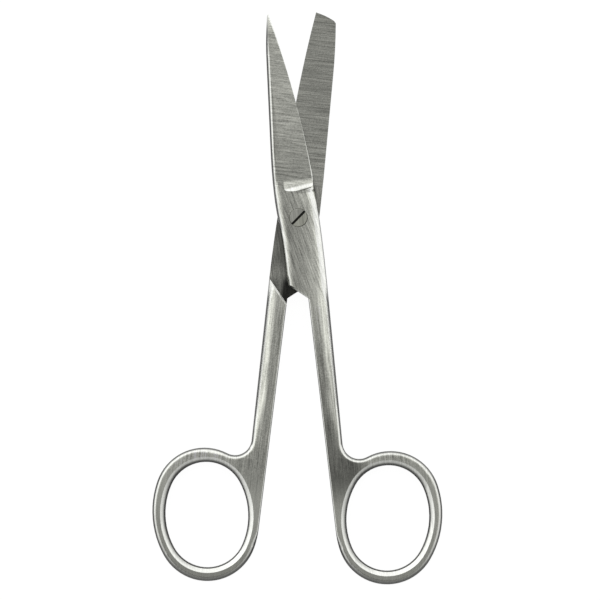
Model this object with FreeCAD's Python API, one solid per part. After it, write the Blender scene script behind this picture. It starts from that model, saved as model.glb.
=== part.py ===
import FreeCAD, Part
import math
import os

from FreeCAD import Vector

os.makedirs("parts", exist_ok=True)

# Straight operating scissors, 145 mm, one sharp and one blunt blade, lap-jointed by a slotted screw.
# Millimetres. The pivot axis is Z through the origin, +Y runs to the blade tips, and z = 0 is the
# back face of the rear half. Each half is drawn closed, as the front half lies: its spine at -X, its
# shank and ring at +X, and the lap plane at z = 0. The rear half is such a half turned over about Y.

# Stance
REST_OPENING = 13.4               # degrees between the closed scissors and the scissors as they lie
SHANK_CLEARANCE = 0.25            # from the closed centre line to a shank's inner edge

# Lap joint
LAP_THICKNESS = 2.3               # each half at the joint
LAP_GAP = 0.02                    # running gap between the two lap faces
LAP_END_OUTER = (-4.63, -16.5)    # diagonal end of the lap, at the spine side
LAP_END_INNER_Y = -20.6           # the same end, at the shank's inner edge
LAP_END_CHAMFER = 0.35
SHOULDER_OUTER = (5.5, -16.0)     # shoulder that ends the lap recess, at the outer edge
SHOULDER_INNER_Y = -21.9          # the same shoulder, at the shank's inner edge
SHOULDER_CHAMFER = 0.45

# Spine side of the joint, then of each blade: its belly, both ends of its straight part, and its end
JOINT_SPINE_TOP = (-4.66, -7.5)   # end of the straight side
SPINE_ROOT = (-5.15, 0.0)
SHARP_SPINE = [(-5.35, 2.2), (-5.5, 8.0), (-5.1, 18.5), (-3.65, 41.0), (-2.04, 54.0)]
BLUNT_SPINE = [(-5.22, 3.2), (-5.1, 11.0), (-4.3, 37.0), (-2.82, 54.0)]
SPINE_ROUND = 1.2

# Outer side, from the blade's root to the ring
ROOT_X = 4.85
JOINT_OUTER_END = (5.42, -17.0)
SHANK_OUTER_END = (4.85, -56.0)
ROOT_ROUND = 2.8
JOINT_ROUND = 2.0
RIM_ROUND = 1.15                  # of shank and ring
INNER_ROUND = 0.4

# Thickness along the shank
SHANK_TOP_Y = -24.5               # between these two the outer face slopes from joint to ring
SHANK_END_Y = -56.0
SLOPE_BLEND = 3.0                 # length of the soft bend at either end of the slope

# Finger ring
SHARP_RING = (0.88, -61.1)        # the closed centre line to the ring's side, and the ring's top
BLUNT_RING = (0.48, -60.5)
RING_WIDTH = 27.04                # outline, across its short axis
RING_LENGTH = 33.8
RING_END_EASE = 0.92              # by so much its end arcs are tighter than half its width
RING_LEAN = 12.2                  # degrees, top outwards
RING_THICKNESS = 3.5
WEB_RADIUS = 4.2                  # concave corner between shank and ring
RING_SIDE_BAND = 3.045            # from the outline to the finger hole, at the sides and at the ends
RING_END_BAND = 3.55
HOLE_OFFSET = (-0.26, -0.04)      # from the ring's centre
HOLE_END_EASE = 0.875
HOLE_LEAN = 9.5
HOLE_BEVEL_WIDTH = 1.35           # the broad bevel and the steeper one inside it
HOLE_BEVEL_DEPTH = 1.25
HOLE_CREST_WIDTH = 0.34           # where the two meet, from the hole's wall
HOLE_CREST_DEPTH = 0.64           # and from the ring's face

# Blades
ROOT_Y = 8.8                      # where the cutting edge and the ground face begin
FALL_START_Y = 1.5                # from here the outer face bends down to the blade's even taper
TIP_Y = 52.2
SHARP_TIP = (-1.9, TIP_Y)
SHARP_EDGE_MIDDLE = (2.45, 30.0)
SHARP_NOSE = [(-2.38, 51.5), (-2.95, 49.9)]
SHARP_TIP_HEIGHT = 0.62           # forging above the lap plane at its end
BLUNT_TIP = (1.97, TIP_Y)
BLUNT_EDGE_MIDDLE = (4.15, 30.0)
BLUNT_END = [(-0.4, 51.6), (-2.55, 50.75)]
BLUNT_CORNER = [(-3.25, 50.15), (-3.66, 49.0)]
BLUNT_TIP_HEIGHT = 1.4
EDGE_HEIGHT = 0.3                 # ground face above the lap face along the edge's chord
EDGE_LAND = 0.06
GRIND_ANGLE = 13.1                # rise of the ground face towards the spine, degrees
WHEEL_RADIUS = 1.6                # run-out left by the grinding wheel at the blade's root
HOLLOW_DEPTH = 0.08               # hollow of the inner face behind the joint, shallower where it is narrower
HOLLOW_START_Y = 13.0
HOLLOW_END_Y = 48.5
SHARP_HOLLOW = [(-4.5, 3.5), (-2.7, -1.8)]      # its sides at the start and at the end
BLUNT_HOLLOW = [(-4.2, 3.9), (-2.6, 1.3)]

# Pivot screw
HEAD_RADIUS = 2.3
HEAD_DEPTH = 0.95
HEAD_CHAMFER = 0.12
SCREW_RADIUS = 1.45
SEAT_CLEARANCE = 0.02             # under the head
BORE_CLEARANCE = 0.04             # running fit in the front half
THREAD_CLEARANCE = 0.02           # screwed fit in the rear half
SLOT_WIDTH = 0.6
SLOT_DEPTH = 0.45
SLOT_ANGLE = 46.0                 # counterclockwise from +X

LAP_FACE = LAP_GAP / 2            # inner face of a half above the lap plane
OUTER_FACE = LAP_FACE + LAP_THICKNESS
BEYOND = 60.0                     # past the half on every side, for cutting tools
TINY = 0.01                       # closer than this, two coordinates are the same


def at(point, z=0.0):
    return Vector(point[0], point[1], z)


def line(start, end, z=0.0):
    return Part.makeLine(at(start, z), at(end, z))


def arc(start, middle, end, z=0.0):
    return Part.Arc(at(start, z), at(middle, z), at(end, z)).toShape()


def polygon(points, z=0.0):
    return [line(a, b, z) for a, b in zip(points, points[1:])]


def smooth(points):
    curve = Part.BSplineCurve()
    curve.interpolate([at(p) for p in points])
    return curve.toShape()


def closed_face(edges):
    return Part.Face(Part.Wire(Part.__sortEdges__(edges)))


def prism(edges, low, high):
    face = closed_face(edges)
    face.translate(Vector(0, 0, low))
    return face.extrude(Vector(0, 0, high - low))


def only_solid(shape):
    return shape.Solids[0]


def arc_about(centre, start, end):
    """The shorter arc from start to end about a centre."""
    middle = start + end - centre * 2
    middle.normalize()
    return Part.Arc(start, centre + middle * (start - centre).Length, end).toShape()


def tangent_arc(start, direction, end):
    """The arc that leaves start in a direction and stops at end, and its direction there."""
    chord = end - start
    length = chord.Length
    chord.normalize()
    half = direction + chord
    half.normalize()
    middle = start + half * (length / (2 * half.dot(chord)))
    return Part.Arc(start, middle, end).toShape(), chord * (2 * chord.dot(direction)) - direction


def first_crossing(start, direction, centre, radius):
    """Where a line that runs from start in a direction first meets a circle."""
    to_centre = centre - start
    nearest = to_centre.dot(direction)
    offset = (to_centre - direction * nearest).Length
    return start + direction * (nearest - math.sqrt(radius ** 2 - offset ** 2))


class LeaningOval:
    """An upright oval of two end arcs and two flatter side arcs, whose top leans outwards."""

    def __init__(self, centre, width, length, end_ease, lean):
        end_radius = width / 2 - end_ease
        reach = length / 2 - end_radius
        up = Vector(math.sin(math.radians(lean)), math.cos(math.radians(lean)), 0)
        self.outwards = Vector(up.y, -up.x, 0)
        self.end_radius = end_radius
        self.side_radius = (reach ** 2 + width ** 2 / 4 - end_radius ** 2) / (2 * end_ease)
        shift = self.outwards * (self.side_radius - width / 2)
        self.top_centre = at(centre) + up * reach
        self.bottom_centre = at(centre) - up * reach
        self.inner_centre = at(centre) + shift
        self.outer_centre = at(centre) - shift
        self.inner_top, self.inner_bottom = self.corners(self.inner_centre)
        self.outer_top, self.outer_bottom = self.corners(self.outer_centre)

    def corners(self, side_centre):
        """Where a side arc meets the two end arcs."""
        directions = [(centre - side_centre).normalize() for centre in (self.top_centre, self.bottom_centre)]
        return [side_centre + direction * self.side_radius for direction in directions]

    def outer_edges(self):
        """From the lower end of the inner side round the outer side."""
        return [
            arc_about(self.bottom_centre, self.inner_bottom, self.outer_bottom),
            arc_about(self.outer_centre, self.outer_bottom, self.outer_top),
        ]

    def edges(self):
        return self.outer_edges() + [
            arc_about(self.top_centre, self.outer_top, self.inner_top),
            arc_about(self.inner_centre, self.inner_top, self.inner_bottom),
        ]

    def inner_tangent(self, start):
        """Where a line from a point above touches the inner side arc."""
        to_centre = self.inner_centre - start
        distance = to_centre.Length
        length = math.sqrt(distance ** 2 - self.side_radius ** 2)
        ahead = to_centre / distance
        inwards = Vector(ahead.y, -ahead.x, 0)
        return start + (ahead * length + inwards * self.side_radius) * (length / distance)


def ring_centre(ring_place):
    side, top = ring_place
    return side + RING_WIDTH / 2, top - RING_LENGTH / 2


def forging_outline(spine, ring_place):
    """The plan of a forging, before its blade is cut to shape."""
    ring = LeaningOval(ring_centre(ring_place), RING_WIDTH, RING_LENGTH, RING_END_EASE, RING_LEAN)
    lap_end_inner = at((SHANK_CLEARANCE, LAP_END_INNER_Y))
    ring_start = ring.inner_tangent(lap_end_inner)

    joint_end = at(JOINT_OUTER_END)
    down = (at(SHANK_OUTER_END) - joint_end).normalize()
    outwards = Vector(-down.y, down.x, 0)
    web_reach = ring.end_radius + WEB_RADIUS
    web_centre = first_crossing(joint_end + outwards * WEB_RADIUS, down, ring.top_centre, web_reach)
    web_start = web_centre - outwards * WEB_RADIUS
    web_end = ring.top_centre + (web_centre - ring.top_centre) * (ring.end_radius / web_reach)

    *belly, straight_start, straight_end, spine_end = [at(point) for point in spine]
    root = at((ROOT_X, ROOT_Y))
    joint_side, _ = tangent_arc(joint_end, -down, root)
    tip_outer = at((ROOT_X, spine_end.y))
    spine_top = at(JOINT_SPINE_TOP)
    spine_root = at(SPINE_ROOT)
    up = (spine_top - at(LAP_END_OUTER)).normalize()
    spine_bend, leaving = tangent_arc(spine_top, up, spine_root)
    ahead = (straight_end - straight_start).normalize()
    blade_belly = Part.BSplineCurve()
    blade_points = [spine_root] + belly + [straight_start]
    blade_belly.interpolate(Points=blade_points, InitialTangent=leaving, FinalTangent=ahead)
    end_bend, _ = tangent_arc(straight_end, ahead, spine_end)
    return ring.outer_edges() + [
        arc_about(ring.top_centre, ring.outer_top, web_end),
        arc_about(web_centre, web_end, web_start),
        Part.makeLine(web_start, joint_end),
        joint_side,
        Part.makeLine(root, tip_outer),
        Part.makeLine(tip_outer, spine_end),
        end_bend,
        Part.makeLine(straight_end, straight_start),
        blade_belly.toShape(),
        spine_bend,
        Part.makeLine(spine_top, at(LAP_END_OUTER)),
        Part.makeLine(at(LAP_END_OUTER), lap_end_inner),
        Part.makeLine(lap_end_inner, ring_start),
        arc_about(ring.inner_centre, ring_start, ring.inner_bottom),
    ], ring_start


def space_above(tip_height):
    """All that lies above the forging's outer face, from its profile seen from the side."""
    bend = SLOPE_BLEND / 2
    ahead = Vector(0, 1, 0)

    def corner(y, z):
        return Vector(-BEYOND, y, z)

    ring_half = RING_THICKNESS / 2
    slope_low = corner(SHANK_END_Y, ring_half)
    slope_high = corner(SHANK_TOP_Y, OUTER_FACE)
    slope = (slope_high - slope_low).normalize()
    low_bend, _ = tangent_arc(slope_low - ahead * bend, ahead, slope_low + slope * bend)
    high_bend, _ = tangent_arc(slope_high + ahead * bend, -ahead, slope_high - slope * bend)
    fall_start = corner(FALL_START_Y, OUTER_FACE)
    tip = corner(TIP_Y, tip_height)
    fall = (tip - fall_start).normalize()
    fall_bend, _ = tangent_arc(fall_start - ahead * bend, ahead, fall_start + fall * bend)
    far_low = fall_start + fall * BEYOND
    far_high = corner(far_low.y, BEYOND)
    near_high = corner(-2 * BEYOND, BEYOND)
    near_low = corner(-2 * BEYOND, ring_half)
    profile = [
        Part.makeLine(near_low, slope_low - ahead * bend),
        low_bend,
        Part.makeLine(slope_low + slope * bend, slope_high - slope * bend),
        high_bend,
        Part.makeLine(slope_high + ahead * bend, fall_start - ahead * bend),
        fall_bend,
        Part.makeLine(fall_start + fall * bend, far_low),
        Part.makeLine(far_low, far_high),
        Part.makeLine(far_high, near_high),
        Part.makeLine(near_high, near_low),
    ]
    return closed_face(profile).extrude(Vector(2 * BEYOND, 0, 0))


def round_at(point, ring_start):
    """The radius that rounds the outer face's rim at a point."""
    if point.x < 0 and point.y > LAP_END_INNER_Y:
        return SPINE_ROUND
    if point.y > ring_start.y - TINY and point.x < (SHANK_CLEARANCE + SHANK_OUTER_END[0]) / 2:
        return INNER_ROUND
    if point.y < SHANK_TOP_Y + SLOPE_BLEND:
        return RIM_ROUND
    if point.y < FALL_START_Y - SLOPE_BLEND / 2 + TINY:
        return JOINT_ROUND
    return ROOT_ROUND


def rim_rounds(shape, ring_start):
    """Each edge of the outer face's rim that is rounded, with its radius at either end."""
    rounds = []
    for number, edge in enumerate(shape.Edges, 1):
        start, end = (edge.valueAt(u) for u in edge.ParameterRange)
        level = abs(start.y - end.y) < TINY
        lap_end = start.x * end.x < 0 and start.y > LAP_END_INNER_Y - TINY
        if edge.BoundBox.ZMin > 0 and not level and not lap_end:
            rounds.append((number, round_at(start, ring_start), round_at(end, ring_start)))
    return rounds


def rounded(shape, rounds):
    document = FreeCAD.newDocument("rounds")
    base = document.addObject("Part::Feature", "base")
    base.Shape = shape
    fillet = document.addObject("Part::Fillet", "fillet")
    fillet.Base = base
    fillet.Edges = rounds
    document.recompute()
    result = only_solid(fillet.Shape)
    FreeCAD.closeDocument(document.Name)
    return result


def edge_near(shape, point):
    """The edge that passes closest to a point."""
    return min(shape.Edges, key=lambda edge: edge.distToShape(Part.Vertex(point))[0])


def bored_ring(shape, ring_place):
    """The finger hole, with the broad bevel that runs round it and breaks into the hole."""
    x, y = ring_centre(ring_place)
    centre = (x + HOLE_OFFSET[0], y + HOLE_OFFSET[1])
    hole_width = RING_WIDTH - 2 * RING_SIDE_BAND
    hole_length = RING_LENGTH - 2 * RING_END_BAND
    hole = LeaningOval(centre, hole_width, hole_length, HOLE_END_EASE, HOLE_LEAN)
    shape = only_solid(shape.cut(prism(hole.edges(), -BEYOND, BEYOND)))
    rim_point = at(centre, RING_THICKNESS / 2) + hole.outwards * (hole_width / 2)
    steep_width = HOLE_CREST_WIDTH * HOLE_BEVEL_DEPTH / (HOLE_BEVEL_DEPTH - HOLE_CREST_DEPTH)
    shape = shape.makeChamfer(steep_width, HOLE_BEVEL_DEPTH, [edge_near(shape, rim_point)])
    steep_length = math.hypot(steep_width - HOLE_CREST_WIDTH, HOLE_CREST_DEPTH)
    rim_point += hole.outwards * steep_width
    shape = shape.makeChamfer(HOLE_BEVEL_WIDTH - steep_width, steep_length, [edge_near(shape, rim_point)])
    return only_solid(shape)


def corner_bar(start, end, z, size, stretch):
    """What a 45 degree chamfer removes along the line from start to end, where the solid is below z and to the
    line's left. It is stretched past the start, or past both ends if it is told so. A negative size turns it over."""
    run = at(end) - at(start)
    run.normalize()
    left = Vector(-run.y, run.x, 0)
    up = Vector(0, 0, math.copysign(1, size))
    size = abs(size)
    spare = 2 * size

    def section(inward, height):
        return at(start, z) - run * spare + left * inward + up * height

    corners = [section(size + spare, spare), section(-spare, -size - spare), section(-spare, spare)]
    triangle = Part.Face(Part.makePolygon(corners + corners[:1]))
    length = (at(end) - at(start)).Length + spare * stretch
    return triangle.extrude(run * length)


def forging(spine, tip_height, ring_place):
    """One side of a forging: its outer face with rounded rim, on walls that run far below the lap plane."""
    outline, ring_start = forging_outline(spine, ring_place)
    slab = only_solid(prism(outline, -2 * OUTER_FACE, BEYOND / 2).cut(space_above(tip_height)))
    slab = bored_ring(rounded(slab, rim_rounds(slab, ring_start)), ring_place)
    lap_end_inner = (SHANK_CLEARANCE, LAP_END_INNER_Y)
    bar = corner_bar(LAP_END_OUTER, lap_end_inner, OUTER_FACE, LAP_END_CHAMFER, 1)
    return only_solid(slab.cut(bar))


def two_sided(side):
    """The whole half: one side down to its lap face, and both sides from the shoulder down."""
    shoulder_inner = (SHANK_CLEARANCE, SHOULDER_INNER_Y)
    run = (SHOULDER_OUTER[0] - shoulder_inner[0], SHOULDER_OUTER[1] - shoulder_inner[1])
    near = (shoulder_inner[0] - 2 * run[0], shoulder_inner[1] - 2 * run[1])
    far = (SHOULDER_OUTER[0] + 2 * run[0], SHOULDER_OUTER[1] + 2 * run[1])
    recess = polygon([near, far, (far[0], BEYOND), (near[0], BEYOND), near])
    below = Part.makeBox(4 * BEYOND, 4 * BEYOND, BEYOND, Vector(-2 * BEYOND, -2 * BEYOND, -BEYOND))
    upper = side.cut(below.fuse(prism(recess, -BEYOND, LAP_FACE)))
    lower = upper.cut(prism(recess, -BEYOND, BEYOND)).mirror(Vector(0, 0, 0), Vector(0, 0, 1))
    whole = upper.fuse(lower).removeSplitter()
    bar = corner_bar(SHOULDER_OUTER, shoulder_inner, -OUTER_FACE, -SHOULDER_CHAMFER, 2)
    return only_solid(whole.cut(bar))


def blade_axes(tip):
    """The cutting edge's chord, the line across the ground face to the spine, and the face's normal."""
    angle = math.radians(GRIND_ANGLE)
    along = at(tip) - Vector(ROOT_X, ROOT_Y, 0)
    along.normalize()
    to_spine = Vector(-along.y, along.x, 0)
    across = to_spine * math.cos(angle) + Vector(0, 0, math.sin(angle))
    return along, across, along.cross(across), to_spine


def beyond_edge(edge_middle, tip):
    """The plan of what lies past the cutting edge, and the same closed round the blade's end."""
    root = (ROOT_X, ROOT_Y)
    outside = polygon([tip, (BEYOND, tip[1] + BEYOND / 4), (BEYOND, ROOT_Y), root])
    return [arc(root, edge_middle, tip)] + outside


def beyond_end(tip, end_curves):
    last = end_curves[-1][-1]
    edges = []
    start = tip
    for middle, end in end_curves:
        edges.append(arc(start, middle, end))
        start = end
    outside = [last, (-BEYOND, last[1]), (-BEYOND, BEYOND * 2), (BEYOND, BEYOND * 2), (BEYOND, tip[1]), tip]
    return edges + polygon(outside)


def grinding_wheel(tip):
    """The space that the wheel takes off the outer face, with its rounded corner at the blade's root."""
    along, across, normal, _ = blade_axes(tip)
    origin = Vector(ROOT_X, ROOT_Y, LAP_FACE + EDGE_HEIGHT)

    def corner(forward, up):
        return origin + along * forward + normal * up - across * BEYOND / 2

    r = WHEEL_RADIUS
    middle = corner(-r * math.sin(math.pi / 4), r - r * math.cos(math.pi / 4))
    profile = [
        Part.Arc(corner(0, 0), middle, corner(-r, r)).toShape(),
        Part.makeLine(corner(-r, r), corner(-r, BEYOND)),
        Part.makeLine(corner(-r, BEYOND), corner(BEYOND, BEYOND)),
        Part.makeLine(corner(BEYOND, BEYOND), corner(BEYOND, 0)),
        Part.makeLine(corner(BEYOND, 0), corner(0, 0)),
    ]
    return closed_face(profile).extrude(across * BEYOND)


def hollow_tool(sides):
    """The space that the hollow of the inner face takes, from the lap plane up."""
    sections = []
    for (left, right), y in zip(sides, (HOLLOW_START_Y, HOLLOW_END_Y)):
        depth = HOLLOW_DEPTH * (right - left) / (sides[0][1] - sides[0][0])
        low_left = Vector(left, y, -LAP_THICKNESS)
        low_right = Vector(right, y, -LAP_THICKNESS)
        rim_left = Vector(left, y, LAP_FACE)
        rim_right = Vector(right, y, LAP_FACE)
        crown = Vector((left + right) / 2, y, LAP_FACE + depth)
        edges = [
            Part.makeLine(low_left, rim_left),
            Part.Arc(rim_left, crown, rim_right).toShape(),
            Part.makeLine(rim_right, low_right),
            Part.makeLine(low_right, low_left),
        ]
        sections.append(Part.Wire(edges))
    return Part.makeLoft(sections, True, True)


def bladed(half, edge_middle, tip, end_curves, hollow):
    _, _, _, to_spine = blade_axes(tip)
    half = half.cut(prism(beyond_edge(edge_middle, tip), -BEYOND, BEYOND))
    half = half.cut(prism(beyond_end(tip, end_curves), -BEYOND, BEYOND))
    half = half.cut(grinding_wheel(tip))
    half = half.cut(hollow_tool(hollow))
    bevel = closed_face(beyond_edge(edge_middle, tip))
    bevel.translate(Vector(0, 0, LAP_FACE + EDGE_LAND))
    half = half.cut(bevel.extrude((to_spine + Vector(0, 0, 1)) * OUTER_FACE * 2))
    return only_solid(half)


def hole(radius, low, high):
    return Part.makeCylinder(radius, high - low, Vector(0, 0, low))


def pivot_screw():
    """Slotted screw, flush with both outer faces, as it sits with the lap plane at z = 0."""
    head = hole(HEAD_RADIUS, OUTER_FACE - HEAD_DEPTH + SEAT_CLEARANCE, OUTER_FACE)
    rim = edge_near(head, Vector(-HEAD_RADIUS, 0, OUTER_FACE))
    head = head.makeChamfer(HEAD_CHAMFER, [rim])
    screw = head.fuse(hole(SCREW_RADIUS, -OUTER_FACE, OUTER_FACE - HEAD_DEPTH + SEAT_CLEARANCE))
    corner = Vector(-2 * HEAD_RADIUS, -SLOT_WIDTH / 2, OUTER_FACE - SLOT_DEPTH)
    slot = Part.makeBox(4 * HEAD_RADIUS, SLOT_WIDTH, BEYOND, corner)
    slot.rotate(Vector(0, 0, 0), Vector(0, 0, 1), SLOT_ANGLE)
    return only_solid(screw.cut(slot).removeSplitter())


def place(shape, turn):
    """Turns a shape about the pivot and lifts it, so that the rear half's back face is at z = 0."""
    shape = shape.copy()
    shape.rotate(Vector(0, 0, 0), Vector(0, 0, 1), turn)
    shape.translate(Vector(0, 0, OUTER_FACE))
    return shape


def front_half():
    half = two_sided(forging(SHARP_SPINE, SHARP_TIP_HEIGHT, SHARP_RING))
    half = bladed(half, SHARP_EDGE_MIDDLE, SHARP_TIP, [SHARP_NOSE], SHARP_HOLLOW)
    half = half.cut(hole(SCREW_RADIUS + BORE_CLEARANCE, -BEYOND, BEYOND))
    half = half.cut(hole(HEAD_RADIUS + BORE_CLEARANCE, OUTER_FACE - HEAD_DEPTH, BEYOND))
    return only_solid(half)


def rear_half():
    half = two_sided(forging(BLUNT_SPINE, BLUNT_TIP_HEIGHT, BLUNT_RING))
    half = bladed(half, BLUNT_EDGE_MIDDLE, BLUNT_TIP, [BLUNT_END, BLUNT_CORNER], BLUNT_HOLLOW)
    half = only_solid(half.cut(hole(SCREW_RADIUS + THREAD_CLEARANCE, -BEYOND, BEYOND)))
    half.rotate(Vector(0, 0, 0), Vector(0, 1, 0), 180)
    return half


place(front_half(), REST_OPENING / 2).exportStep("parts/front_half.step")
place(rear_half(), -REST_OPENING / 2).exportStep("parts/rear_half.step")
place(pivot_screw(), 0).exportStep("parts/pivot_screw.step")
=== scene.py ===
"""Operating scissors on a white ground, seen from straight above."""

import math

import bpy
from mathutils import Matrix, Vector


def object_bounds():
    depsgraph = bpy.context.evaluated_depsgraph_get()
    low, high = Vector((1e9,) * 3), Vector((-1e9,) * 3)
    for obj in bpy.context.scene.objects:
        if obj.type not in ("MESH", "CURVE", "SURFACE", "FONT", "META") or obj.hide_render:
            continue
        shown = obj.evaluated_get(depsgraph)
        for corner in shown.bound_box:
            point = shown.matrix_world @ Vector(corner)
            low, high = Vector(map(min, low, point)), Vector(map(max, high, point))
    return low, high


MM = 0.001

# Camera, from the photograph's frame of 600 by 600 pixels
PIXEL = 0.2533 * MM               # at half the height of the lap joint
IMAGE = 600
PIVOT_PIXEL = (298.4, 217.8)
TILT = math.radians(0.38)         # the scissors lean clockwise in the picture
DISTANCE = 1.1
SENSOR = 36.0                     # millimetres
CLIP_END = 10

# Stance of the halves and heights of their faces, in millimetres
HALF_ANGLE = math.radians(6.7)
JOINT_TOP = 4.62
RING_FACE = 4.06

# What differs between the halves. side is 1 where the ring lies to the right of the half, and
# ring_centre gives its place outward and along. The blade's grey is even from blade_even on.
# Their tones carry painted light and shade, which differ between the halves and along each.
FRONT = {
    "turn": HALF_ANGLE,
    "side": 1,
    "ring_centre": (14.4, -78.0),
    "root_painted_light_tone": 0.305,
    "blade_painted_light_tone": 0.44,
    "blade_even": 24.0,
    "shank_painted_light_tones": (0.29, 0.78),
    "ring_painted_light_tones": (0.84, 0.66),
}
REAR = {
    "turn": -HALF_ANGLE,
    "side": -1,
    "ring_centre": (14.0, -77.4),
    "root_painted_light_tone": 0.62,
    "blade_painted_light_tone": 0.53,
    "blade_even": 36.0,
    "shank_painted_light_tones": (0.66, 0.71),
    "ring_painted_light_tones": (0.90, 0.62),
}

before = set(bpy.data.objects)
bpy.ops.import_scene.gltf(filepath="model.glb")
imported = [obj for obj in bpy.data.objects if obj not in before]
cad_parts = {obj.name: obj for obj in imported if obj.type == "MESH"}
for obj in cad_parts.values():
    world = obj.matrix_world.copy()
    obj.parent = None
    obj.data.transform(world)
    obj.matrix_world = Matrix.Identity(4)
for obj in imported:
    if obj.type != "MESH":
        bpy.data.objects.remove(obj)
cad_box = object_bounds()


class Nodes:
    """Short ways to add shader nodes to one tree."""

    def __init__(self, tree):
        self.tree = tree

    def add(self, kind, **settings):
        node = self.tree.nodes.new("ShaderNode" + kind)
        for name, value in settings.items():
            setattr(node, name, value)
        return node

    def feed(self, socket, value):
        if isinstance(value, bpy.types.NodeSocket):
            self.tree.links.new(value, socket)
        else:
            socket.default_value = value

    def math(self, operation, *values):
        node = self.add("Math", operation=operation)
        for socket, value in zip(node.inputs, values):
            self.feed(socket, value)
        return node.outputs[0]

    def in_turn(self, operation, values):
        """The operation on the first two values, then on its result and the third, and so on."""
        result = values[0]
        for value in values[1:]:
            result = self.math(operation, result, value)
        return result

    def product(self, *values):
        return self.in_turn("MULTIPLY", values)

    def total(self, *values):
        return self.in_turn("ADD", values)

    def greatest(self, *values):
        return self.in_turn("MAXIMUM", values)

    def less(self, value, amount):
        return self.math("SUBTRACT", value, amount)

    def dimmed(self, tone, *shares):
        """The tone less a share of it, which is the product of the shares."""
        return self.product(tone, self.less(1.0, self.product(*shares)))

    def ramp(self, value, low, high, start=0.0, end=1.0, smooth=True):
        """Start as far as low and end from high on, with a change between. Low may be above high."""
        kind = "SMOOTHSTEP" if smooth else "LINEAR"
        node = self.add("MapRange", interpolation_type=kind)
        inputs = {"Value": value, "From Min": low, "From Max": high, "To Min": start, "To Max": end}
        for name, item in inputs.items():
            self.feed(node.inputs[name], item)
        return node.outputs["Result"]

    def mix(self, factor, first, second):
        node = self.add("Mix", data_type="FLOAT")
        for index, item in ((0, factor), (2, first), (3, second)):
            self.feed(node.inputs[index], item)
        return node.outputs[0]

    def dot(self, vector, direction):
        node = self.add("VectorMath", operation="DOT_PRODUCT")
        self.feed(node.inputs[0], vector)
        self.feed(node.inputs[1], direction)
        return node.outputs["Value"]

    def rounding(self, inside, reach, strength):
        """A height that falls by the square of the way into a margin of width reach."""
        fall = self.greatest(self.less(reach, inside), 0.0)
        fall = self.math("MINIMUM", fall, reach)
        return self.product(fall, fall, -strength)

    def noise(self, vector, scale, detail):
        node = self.add("TexNoise")
        self.feed(node.inputs["Vector"], vector)
        self.feed(node.inputs["Scale"], scale)
        self.feed(node.inputs["Detail"], detail)
        return node.outputs["Fac"]

    def streaks(self, position, turn, lines):
        """Noise in lines: position turned about Z, then squeezed to so many lines per millimetre."""
        across, along = lines
        node = self.add("Mapping")
        node.vector_type = "TEXTURE"
        self.feed(node.inputs["Vector"], position)
        self.feed(node.inputs["Rotation"], (0, 0, turn))
        self.feed(node.inputs["Scale"], (1 / across, 1 / along, 1))
        return self.noise(node.outputs["Vector"], 1.0, detail=3.0)


# The red that the steel gives back for each part of green, and how strongly scratches tilt its face
RED = 0.99
SCRATCH_STRENGTH = 0.6


class Steel:
    """Satin steel as nodes, with the places on the part that its look depends on."""

    def __init__(self, name, turn, side):
        self.material = bpy.data.materials.new(name)
        self.material.use_nodes = True
        self.material.node_tree.nodes.clear()
        self.turn = turn
        self.n = n = Nodes(self.material.node_tree)
        coordinates = n.add("TexCoord")
        scale = n.add("VectorMath", operation="SCALE")
        n.feed(scale.inputs[0], coordinates.outputs["Object"])
        n.feed(scale.inputs["Scale"], 1 / MM)
        self.position = scale.outputs[0]
        self.normal = coordinates.outputs["Normal"]
        to_tip = (-math.sin(turn), math.cos(turn), 0)
        to_outside = (side * math.cos(turn), side * math.sin(turn), 0)
        self.along = n.dot(self.position, to_tip)
        self.outward = n.dot(self.position, to_outside)
        self.height = n.dot(self.position, (0, 0, 1))
        self.ahead = n.dot(self.normal, to_tip)
        self.aside = n.dot(self.normal, to_outside)
        self.facing = n.dot(self.normal, (0, 0, 1))
        self.rightward = n.dot(self.normal, (1, 0, 0))
        self.forward = n.dot(self.normal, (0, 1, 0))

    def bumps(self, form, scratches):
        """The normal of a face rounded by form and marked by scratches, heights in millimetres."""
        n = self.n
        rounded = n.add("Bump")
        n.feed(rounded.inputs["Distance"], MM)
        n.feed(rounded.inputs["Height"], form)
        scratched = n.add("Bump")
        n.feed(scratched.inputs["Strength"], SCRATCH_STRENGTH)
        n.feed(scratched.inputs["Distance"], MM)
        n.feed(scratched.inputs["Height"], scratches)
        n.feed(scratched.inputs["Normal"], rounded.outputs[0])
        return scratched.outputs[0]

    def finish(self, tone, warmth, roughness):
        """The shader. tone is the steel's grey, warmth its blue for each part of green."""
        n = self.n
        shader = n.add("BsdfPrincipled")
        colour = n.add("CombineColor")
        n.feed(colour.inputs[0], n.product(tone, RED))
        n.feed(colour.inputs[1], tone)
        n.feed(colour.inputs[2], n.product(tone, warmth))
        n.feed(shader.inputs["Base Color"], colour.outputs[0])
        n.feed(shader.inputs["Metallic"], 1.0)
        n.feed(shader.inputs["Roughness"], roughness)
        output = n.add("OutputMaterial")
        n.feed(output.inputs[0], shader.outputs[0])
        return shader


# A pair of numbers below says where a change begins and where it ends, or the two values of it.

# Places along a half, in millimetres from the pivot, above zero towards the tip
BLADE_BEGINS = (8.0, 8.6)
GROUND_FROM = 9.0
RUN_OUT = (10.0, 8.8)             # the band that the grinding wheel leaves at the blade's root
SPINE_STRIP = (9.0, 22.0)         # the level strip between the spine and the ground face
TIP = (46.0, 52.0)
JOINT_SIDE = (-1.0, -4.0)
JOINT_ENDS = (-22.0, -17.0)
SHANK_BEGINS = (-16.0, -24.0)
SHANK = (-62.0, -24.0)
RING_BEGINS = (-58.0, -59.0)
RING = (-62.0, -92.0)
RING_POLISH = (-64.0, -70.0)
WEB_ENDS = (-66.0, -76.0)

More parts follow.
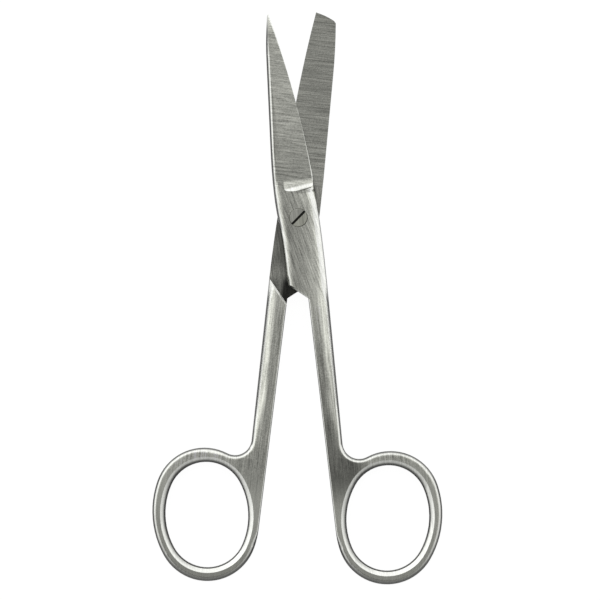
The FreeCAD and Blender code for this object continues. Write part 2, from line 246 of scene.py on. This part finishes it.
# Places outward from the centre line, above the lap and inside the ring, in millimetres. The squared
# radius of the screw's seat is in square millimetres.
WEB_SIDE = (7.0, 12.0)
ABOVE_LAP = (1.2, 1.5)
IN_HOLE = (0.0, 0.6)
OUTSIDE_RING = (0.0, -0.6)
SEAT_SQUARED = (6.0, 8.0)

# How level a face is, from 0 for a wall to 1 for a level face, and how far it is turned
LEVEL_FACE = (0.9985, 0.9995)
SLOPED_FACE = (0.985, 0.95)
SLOPED_ON_BLADE = (0.96, 0.92)
STEEP_BEVEL = (0.45, 0.78)
STEEP_ROUND = (0.68, 0.91)
STEEP_EDGE = (0.3, 0.6)
WALL = (0.12, 0.3)
END_FACE = (0.2, 0.4)
OUTER_FACE = (0.0, 0.1)
LOWER_FACE = (-0.05, -0.35)

# Greys of the steel, and the factors or shares by which painted light and shade make places lighter or
# darker
JOINT_TONE = 0.61
# Painted highlight on rounds, bevels and other sloped faces
SLOPED_PAINTED_HIGHLIGHT = 0.9
# Painted dark reflection on steep rounds and bevels, less dark on the walls
PAINTED_DARK_RIM_TONES = (0.45, 0.07)
STRIP_TONES = (0.28, 0.17)
# Painted highlights on the ground face's run-out band and towards the tip
RUN_OUT_HIGHLIGHT_GAINS = (1.0, 2.4)
TIP_HIGHLIGHT_GAINS = (1.0, 2.0)
# Shares of the painted dark reflection kept towards the tip, and taken off the ring's outer end faces
TIP_STEEPNESS = (1.0, 0.35)
END_ON_RIM = 0.6
# Share of grey lost to painted shade on the ring's rim at its lower end
PAINTED_SHADE_BELOW_RIM = 0.65

# Lap face in its recess, with painted shade: its heights, where it lies along, where its shade and its
# darkest corner lie along and outward, in millimetres, and the shares of its grey that it keeps there
LAP_FROM_BELOW = (1.9, 2.1)
LAP_FROM_ABOVE = (2.9, 2.7)
LAP_FRONT = (2.0, 0.0)
LAP_BACK = (-24.0, -23.0)
LAP_SHADE = (-11.0, -15.0)
LAP_SHARES = (0.6, 0.88)
CORNER_ALONG = (-14.5, -17.0)
CORNER_OUTWARD = (2.8, 1.2)
CORNER_PAINTED_SHADE_SHARE = 0.12

# Inside the ring: depths below its face in millimetres, how far a face is turned, and the share of
# its grey lost to painted shade at the hole's left side, all round but for its lower end, and at its upper
# end
LEFT_SHADE = ((0.15, 0.6), (0.05, 0.45), 0.45)
ROUND_SHADE = ((0.42, 0.62), (0.4, 0.1), 0.6)
UPPER_SHADE = ((0.25, 0.5), (-0.1, -0.4), 0.5)

# Shade in recesses: how far the sky is looked for, how open it is, and the share of grey kept
SHADE_REACH = 3 * MM
SHADE_SAMPLES = 8
SHADE_OPEN = (0.35, 0.98)
SHADE_SHARES = (0.4, 1.0)

# Brushing: directions, lines per millimetre across and along, and how strongly it shows
SLANT = math.radians(14)
BLADE_LINES = math.radians(84)
SHANK_STREAKS = (3.6, 0.12)
JOINT_STREAKS = (3.6, 0.2)
BLADE_STREAKS = (4.4, 0.10)
GRAIN_SCALE = 2.6
GRAIN_SHARE = 0.3
PATCH_SCALE = 0.12
SLOPED_POLISH = 0.6
RING_POLISHES = (0.0, 0.65)
STREAKS_IN_TONE = 2.6
PATCHES_IN_TONE = 0.3
ROUGHNESS = 0.26
STREAKS_IN_ROUGHNESS = 0.15
SCRATCH_DEPTHS = (0.006, 0.003)   # millimetres, on the forging and on the blade
WARMTHS = (0.905, 0.95)           # on level and on sloped faces, the bluer second one going with their painted highlight

# Soft crown near the long edges: where the edges lie outward of the centre line, how wide the crown
# is, how much it falls for each square millimetre, and where it lies along
OUTER_EDGE = 5.67
OUTER_LEAN = 0.0146
SPINE_EDGE_ALONG = (-7.5, 2.0)
SPINE_EDGES = (4.65, 5.35)
SHANK_CROWN = (3.1, 0.14)
SHANK_CROWN_ALONG = (-62.0, -46.0)
OUTER_CROWN = (7.5, 0.02)
OUTER_CROWN_ALONG = (7.0, 6.0)
SPINE_CROWN = (2.5, 0.12)
SPINE_CROWN_ALONG = (16.0, 4.0)
CROWN_ABOVE_LAP = (0.3, 0.6)


class HalfSteel(Steel):
    """Steel of one half, brushed the way each face is worked, with painted light and shade in its grey."""

    def __init__(self, name, look):
        super().__init__(name, look["turn"], look["side"])
        self.look = look
        n = self.n
        self.blade = n.ramp(self.along, *BLADE_BEGINS)
        self.shank = n.ramp(self.along, *SHANK_BEGINS)
        self.ringed = n.ramp(self.along, *RING_BEGINS)
        self.levelness = n.math("ABSOLUTE", self.facing)
        self.level = n.ramp(self.levelness, *LEVEL_FACE)
        sloped_forging = n.ramp(self.levelness, *SLOPED_FACE)
        sloped_blade = n.ramp(self.levelness, *SLOPED_ON_BLADE)
        self.sloped = n.mix(self.blade, sloped_forging, sloped_blade)
        self.from_lap = n.math("ABSOLUTE", n.less(self.height, JOINT_TOP / 2))
        ring_outward, ring_along = look["ring_centre"]
        sideways = n.product(self.aside, n.less(ring_outward, self.outward))
        lengthways = n.product(self.ahead, n.less(ring_along, self.along))
        to_centre = n.total(sideways, lengthways)
        self.in_hole = n.product(n.ramp(to_centre, *IN_HOLE), self.ringed)
        self.outside = n.product(n.ramp(to_centre, *OUTSIDE_RING), self.ringed)

    def painted_dark_rim(self):
        """Where a round or a bevel is steep enough to get a painted dark reflection, but not in the screw's
        seat.
        """
        n = self.n
        end_face = n.ramp(n.math("ABSOLUTE", self.ahead), *END_FACE)
        end_face = n.dimmed(end_face, self.outside, END_ON_RIM)
        on_joint = n.ramp(self.along, *JOINT_ENDS)
        joint_side = n.product(on_joint, n.ramp(self.along, *JOINT_SIDE))
        joint_edge = n.product(on_joint, n.ramp(self.aside, *OUTER_FACE))
        bevelled = n.greatest(end_face, self.in_hole, joint_side)
        bevel = n.ramp(self.levelness, *STEEP_BEVEL, 1.0, 0.0)
        rounded = n.ramp(self.levelness, *STEEP_ROUND, 1.0, 0.0)
        edge = n.ramp(self.levelness, *STEEP_EDGE, 1.0, 0.0)
        painted_dark_rim = n.mix(joint_edge, n.mix(bevelled, rounded, bevel), edge)
        outward_squared = n.product(self.outward, self.outward)
        along_squared = n.product(self.along, self.along)
        past_seat = n.ramp(n.total(outward_squared, along_squared), *SEAT_SQUARED)
        return n.product(painted_dark_rim, past_seat, n.ramp(self.along, *TIP, *TIP_STEEPNESS))

    def brushing(self):
        """Lines about zero: along the shank, slanting on the joint, across the blade."""
        n = self.n
        on_shank = n.streaks(self.position, self.turn, SHANK_STREAKS)
        on_joint = n.streaks(self.position, self.turn + SLANT, JOINT_STREAKS)
        on_blade = n.streaks(self.position, BLADE_LINES, BLADE_STREAKS)
        grain = n.noise(self.position, GRAIN_SCALE, detail=1.0)
        lines = n.mix(self.blade, n.mix(self.shank, on_joint, on_shank), on_blade)
        lines = n.less(n.mix(GRAIN_SHARE, lines, grain), 0.5)
        ring_polish = n.ramp(self.along, *RING_POLISH, *RING_POLISHES)
        return n.dimmed(lines, n.greatest(n.product(self.sloped, SLOPED_POLISH), ring_polish))

    def blade_painted_light_tone(self):
        """Ground face with painted light and shade, painted highlights at run-out and tip, and the spine
        strip.
        """
        n = self.n
        tones = (self.look["root_painted_light_tone"], self.look["blade_painted_light_tone"])
        ground = n.ramp(self.along, GROUND_FROM, self.look["blade_even"], *tones, smooth=False)
        run_out = n.mix(self.level, n.ramp(self.along, *RUN_OUT, *RUN_OUT_HIGHLIGHT_GAINS), 1.0)
        tip = n.mix(self.level, n.ramp(self.along, *TIP, *TIP_HIGHLIGHT_GAINS), 1.0)
        strip = n.ramp(self.along, *SPINE_STRIP, *STRIP_TONES, smooth=False)
        strip = n.product(self.level, strip, n.ramp(self.from_lap, *ABOVE_LAP))
        return n.total(n.product(ground, run_out, tip), strip)

    def shank_painted_light_tone(self):
        """The shank and, past the web, the ring, with painted light and shade along them."""
        n = self.n
        shank = n.ramp(self.along, *SHANK, *self.look["shank_painted_light_tones"], smooth=False)
        ring = n.ramp(self.along, *RING, *self.look["ring_painted_light_tones"], smooth=False)
        past_web = n.greatest(n.ramp(self.along, *WEB_ENDS), n.ramp(self.outward, *WEB_SIDE))
        return n.mix(n.product(past_web, self.ringed), shank, ring)

    def lap_painted_shade(self):
        """Painted shade on the lap face in the recess beside the other half: how much of its grey it keeps.
        """
        n = self.n
        heights = n.product(n.ramp(self.height, *LAP_FROM_BELOW), n.ramp(self.height, *LAP_FROM_ABOVE))
        lap = n.product(heights, n.ramp(self.along, *LAP_FRONT), n.ramp(self.along, *LAP_BACK))
        share = n.ramp(self.along, *LAP_SHADE, *LAP_SHARES)
        corner = n.product(n.ramp(self.outward, *CORNER_OUTWARD), n.ramp(self.along, *CORNER_ALONG))
        return n.mix(lap, 1.0, n.mix(corner, share, CORNER_PAINTED_SHADE_SHARE))

    def ring_shade(self, tone):
        """Painted shade on the bevels inside the ring, and on the rim outside it at its lower end."""
        n = self.n
        depth = n.less(RING_FACE, self.height)
        shades = ((self.rightward, LEFT_SHADE), (self.forward, ROUND_SHADE), (self.forward, UPPER_SHADE))
        for direction, (depths, turned, share) in shades:
            shade = n.product(n.ramp(depth, *depths), n.ramp(direction, *turned), share)
            tone = n.dimmed(tone, shade, self.in_hole)
        return n.dimmed(tone, self.outside, n.ramp(self.forward, *LOWER_FACE), PAINTED_SHADE_BELOW_RIM)

    def tone(self, brushing):
        """The steel's grey everywhere on the half, with painted light and shade."""
        n = self.n
        tone = n.mix(self.blade, n.mix(self.shank, JOINT_TONE, self.shank_painted_light_tone()), self.blade_painted_light_tone())
        # Painted highlight: sloped faces take a light grey
        tone = n.mix(self.sloped, tone, SLOPED_PAINTED_HIGHLIGHT)
        # Painted shade in the recess beside the other half
        tone = n.product(tone, self.lap_painted_shade())
        patches = n.less(n.noise(self.position, PATCH_SCALE, detail=2.0), 0.5)
        streaked = n.total(n.product(brushing, STREAKS_IN_TONE), n.product(patches, PATCHES_IN_TONE))
        tone = n.product(tone, n.total(1.0, streaked))
        # Painted dark reflection on steep rounds, bevels and walls
        tone = n.mix(self.painted_dark_rim(), tone, n.ramp(self.levelness, *WALL, *PAINTED_DARK_RIM_TONES))
        tone = self.ring_shade(tone)
        shade = n.add("AmbientOcclusion", samples=SHADE_SAMPLES)
        n.feed(shade.inputs["Distance"], SHADE_REACH)
        return n.product(tone, n.ramp(shade.outputs["AO"], *SHADE_OPEN, *SHADE_SHARES, smooth=False))

    def form(self):
        """Heights in millimetres that round the joint and the shank off near their long edges."""
        n = self.n
        outer_edge = n.total(OUTER_EDGE, n.product(self.along, OUTER_LEAN))
        from_outer = n.less(outer_edge, self.outward)
        spine_edge = n.ramp(self.along, *SPINE_EDGE_ALONG, *SPINE_EDGES, smooth=False)
        from_spine = n.total(self.outward, spine_edge)
        shank = n.rounding(from_outer, *SHANK_CROWN)
        shank = n.product(shank, n.ramp(self.along, *SHANK_CROWN_ALONG, smooth=False))
        outer = n.rounding(from_outer, *OUTER_CROWN)
        outer = n.product(outer, n.ramp(self.along, *OUTER_CROWN_ALONG))
        spine = n.rounding(from_spine, *SPINE_CROWN)
        spine = n.product(spine, n.ramp(self.along, *SPINE_CROWN_ALONG))
        joint = n.product(n.total(outer, spine), n.ramp(self.from_lap, *CROWN_ABOVE_LAP))
        return n.mix(self.shank, joint, shank)


def half_steel(name, look):
    steel = HalfSteel(name, look)
    n = steel.n
    brushing = steel.brushing()
    warmth = n.mix(steel.sloped, *WARMTHS)
    roughness = n.total(ROUGHNESS, n.product(brushing, STREAKS_IN_ROUGHNESS))
    shader = steel.finish(steel.tone(brushing), warmth, roughness)
    scratches = n.product(brushing, n.mix(steel.blade, *SCRATCH_DEPTHS))
    n.feed(shader.inputs["Normal"], steel.bumps(steel.form(), scratches))
    return steel.material


# Screw: its slot and its two ends by height and place in millimetres, its chamfer by how it is
# turned, and the greys, with painted shade in the slot and painted light and shade on the face and chamfer
SLOT_ANGLE = math.radians(46)
SLOT_WALL = (4.22, 4.37)
HIDDEN_END = (1.0, 0.8)
BELOW_SLOT = (0.1, -0.1)
# Painted shade in the slot and on the screw's body between its ends
SLOT_PAINTED_SHADE = 0.03
FACE_TONE = 0.64
# Painted highlight on the face below the slot
FACE_PAINTED_LIGHT_BELOW = 0.07
FACE_WARMTH = 0.91
# Less blue in the painted highlight below the slot
FACE_WARMTH_BELOW = 0.04
CHAMFER = (0.95, 0.8)
LOWER_RIGHT = (0.8, -0.6, 0)
CHAMFER_TURNED = (0.3, 0.6)
# Painted light and shade on the chamfer: dark where it is turned to the lower right
CHAMFER_PAINTED_LIGHT_AND_SHADE = (0.8, 0.15)
SCREW_STREAKS = (3.0, 0.10)
SCREW_STREAKS_IN_TONE = 1.4
SCREW_ROUGHNESS = 0.28


def screw_steel():
    """Steel of the screw, with painted shade in its slot, a painted highlight below it, and painted light
    and shade on its chamfer.
    """
    steel = Steel("screw_steel", SLOT_ANGLE, 1)
    n = steel.n
    ends = n.greatest(n.ramp(steel.height, *SLOT_WALL), n.ramp(steel.height, *HIDDEN_END))
    below_slot = n.ramp(steel.along, *BELOW_SLOT)
    # Painted highlight on the face below the slot
    tone = n.total(FACE_TONE, n.product(below_slot, FACE_PAINTED_LIGHT_BELOW))
    streaks = n.less(n.streaks(steel.position, HALF_ANGLE, SCREW_STREAKS), 0.5)
    tone = n.product(tone, n.total(1.0, n.product(streaks, SCREW_STREAKS_IN_TONE)))
    to_lower_right = n.dot(steel.normal, LOWER_RIGHT)
    # Painted light and shade on the chamfer by the way it is turned
    chamfer_painted_light = n.ramp(to_lower_right, *CHAMFER_TURNED, *CHAMFER_PAINTED_LIGHT_AND_SHADE)
    tone = n.mix(n.ramp(steel.facing, *CHAMFER), tone, chamfer_painted_light)
    # Painted shade between the screw's two ends, in its slot
    tone = n.mix(ends, SLOT_PAINTED_SHADE, tone)
    warmth = n.less(FACE_WARMTH, n.product(below_slot, FACE_WARMTH_BELOW))
    steel.finish(tone, warmth, SCREW_ROUGHNESS)
    return steel.material


def dress(node, material):
    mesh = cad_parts[node].data
    mesh.materials.clear()
    mesh.materials.append(material)


# Floor: half its width and how far it lies below the scissors, in metres, its glow and its greys
FLOOR_REACH = 3.0
FLOOR_DROP = 0.02 * MM
FLOOR_GLOW = 0.95
SHADOW_GREY = (0.12, 0.12, 0.12, 1)
PLAIN_GREY = (0.8, 0.8, 0.8, 1)


def white_floor():
    """A floor that is white to the camera and in the steel, and keeps the scissors' shadow."""
    mesh = bpy.data.meshes.new("floor")
    reach = FLOOR_REACH
    corners = [(-reach, -reach, 0), (reach, -reach, 0), (reach, reach, 0), (-reach, reach, 0)]
    mesh.from_pydata(corners, [], [(0, 1, 2, 3)])
    floor = bpy.data.objects.new("floor", mesh)
    bpy.context.scene.collection.objects.link(floor)
    floor.location.z = cad_box[0][2] - FLOOR_DROP
    material = bpy.data.materials.new("floor_white")
    material.use_nodes = True
    material.node_tree.nodes.clear()
    n = Nodes(material.node_tree)
    rays = n.add("LightPath").outputs
    seen = n.greatest(rays["Is Camera Ray"], rays["Is Glossy Ray"], rays["Is Transmission Ray"])
    white = n.add("Emission")
    n.feed(white.inputs["Strength"], FLOOR_GLOW)
    matte = n.add("BsdfDiffuse")
    n.feed(matte.inputs["Color"], SHADOW_GREY)
    lit = n.add("AddShader")
    n.feed(lit.inputs[0], white.outputs[0])
    n.feed(lit.inputs[1], matte.outputs[0])
    plain = n.add("BsdfDiffuse")
    n.feed(plain.inputs["Color"], PLAIN_GREY)
    choice = n.add("MixShader")
    n.feed(choice.inputs[0], seen)
    n.feed(choice.inputs[1], plain.outputs[0])
    n.feed(choice.inputs[2], lit.outputs[0])
    output = n.add("OutputMaterial")
    n.feed(output.inputs[0], choice.outputs[0])
    mesh.materials.append(material)


# Tent: parts of the unit direction in which it is seen, and the strengths of its light
TENT_WALL_UP = (0.96, 0.76)
WALL_AHEAD = (-0.9, 0.6)
WALL_LIGHTS = (0.6, 1.40)
LOW_WALL_UP = (0.75, 0.4)
RIGHT_WALL = (0.1, 0.7)
LOW_RIGHT_SHARE = 0.1
LEFT_WALL = (0.0, -0.6)
LEFT_GAINS = (1.0, 1.15)
ROOF_AHEAD = (-0.3, 0.4)
ROOF_LIGHTS = (0.16, 0.70)
ROOF_RIGHT = (0.05, 0.35)
ROOF_RIGHT_LIGHTS = (0.0, 0.25)


def light_tent():
    """A tent: dim overhead, where the camera looks in, bright beyond the tips, less so at the rings' end."""
    world = bpy.data.worlds.new("tent")
    bpy.context.scene.world = world
    world.use_nodes = True
    world.node_tree.nodes.clear()
    n = Nodes(world.node_tree)
    direction = n.add("TexCoord").outputs["Generated"]
    up = n.dot(direction, (0, 0, 1))
    ahead = n.dot(direction, (0, 1, 0))
    aside = n.dot(direction, (1, 0, 0))
    wall = n.ramp(ahead, *WALL_AHEAD, *WALL_LIGHTS)
    wall = n.dimmed(wall, n.ramp(up, *LOW_WALL_UP), n.ramp(aside, *RIGHT_WALL), LOW_RIGHT_SHARE)
    wall = n.product(wall, n.ramp(aside, *LEFT_WALL, *LEFT_GAINS))
    roof = n.ramp(ahead, *ROOF_AHEAD, *ROOF_LIGHTS, smooth=False)
    roof = n.total(roof, n.ramp(aside, *ROOF_RIGHT, *ROOF_RIGHT_LIGHTS))
    background = n.add("Background")
    n.feed(background.inputs["Strength"], n.mix(n.ramp(up, *TENT_WALL_UP), roof, wall))
    output = n.add("OutputWorld")
    n.feed(output.inputs[0], background.outputs[0])


def camera():
    data = bpy.data.cameras.new("camera")
    data.sensor_width = SENSOR
    data.lens = SENSOR * DISTANCE / (IMAGE * PIXEL)
    data.clip_end = CLIP_END
    eye = bpy.data.objects.new("camera", data)
    bpy.context.scene.collection.objects.link(eye)
    right = (IMAGE / 2 - PIVOT_PIXEL[0]) * PIXEL
    up = (PIVOT_PIXEL[1] - IMAGE / 2) * PIXEL
    turn = Matrix.Rotation(TILT, 4, "Z")
    aim = turn @ Vector((right, up, 0))
    eye.matrix_world = Matrix.Translation((aim.x, aim.y, DISTANCE + JOINT_TOP * MM / 2)) @ turn
    bpy.context.scene.camera = eye


dress("front_half", half_steel("front_steel", FRONT))
dress("rear_half", half_steel("rear_steel", REAR))
dress("pivot_screw", screw_steel())
white_floor()
light_tent()
camera()
bpy.context.scene.view_settings.view_transform = "Standard"
